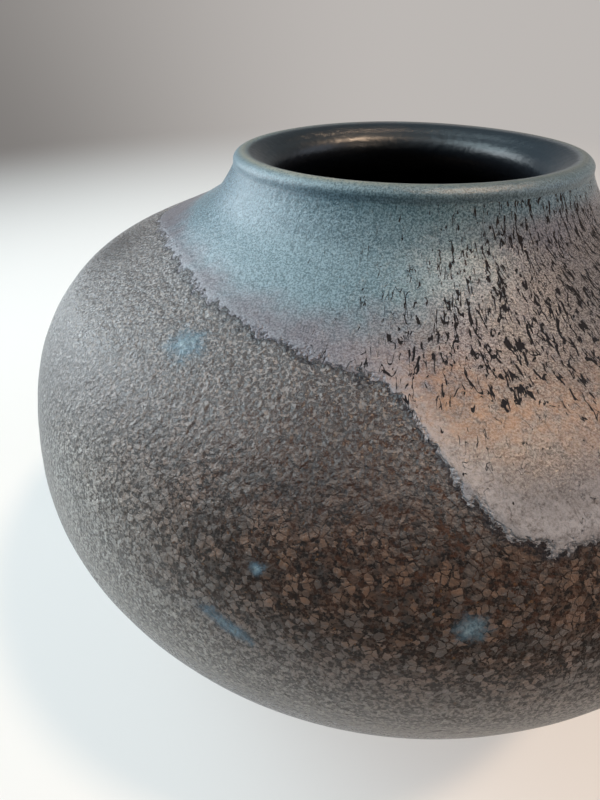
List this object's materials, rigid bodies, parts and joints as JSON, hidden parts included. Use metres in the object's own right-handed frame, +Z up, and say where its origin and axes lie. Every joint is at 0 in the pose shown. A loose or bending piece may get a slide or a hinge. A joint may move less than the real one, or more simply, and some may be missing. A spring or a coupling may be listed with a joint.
{
  "type": "stoneware vase",
  "caption": "Squat round-bellied stoneware vase with a short neck, thick rounded lip and turned foot ring, in a dark mottled glaze under a pale glaze poured over the shoulder.",
  "frame": {"origin": "centre of the foot ring, on the surface that the vase stands on", "axes": "+Z up along the axis that the pot was turned on; -Y towards the side with the lowest lobe of the poured glaze; +X to the right of it"},
  "size_m": [0.26, 0.26, 0.1882],
  "materials": {
    "stoneware": "matt, unglazed, slightly gritty",
    "iron_glaze": "satin, dark brown-black with fine grey matt crystals and rust blushes",
    "rim_glaze": "satin-gloss, olive and teal grey",
    "liner_glaze": "gloss, blue-black",
    "poured_glaze": "satin, pale teal-blue fading to lilac and brown grey, with crawled breaks",
    "splash_glaze": "satin, pale blue"
  },
  "bodies": {
    "root": {"clay_body": "stoneware", "base_glaze": "iron_glaze", "lip_glaze": "rim_glaze", "liner_glaze": "liner_glaze", "shoulder_glaze_pour": "poured_glaze", "blue_splash_shoulder": "splash_glaze", "blue_splash_streak": "splash_glaze", "blue_splash_star": "splash_glaze", "blue_splash_fleck": "splash_glaze"}
  },
  "joints": []
}
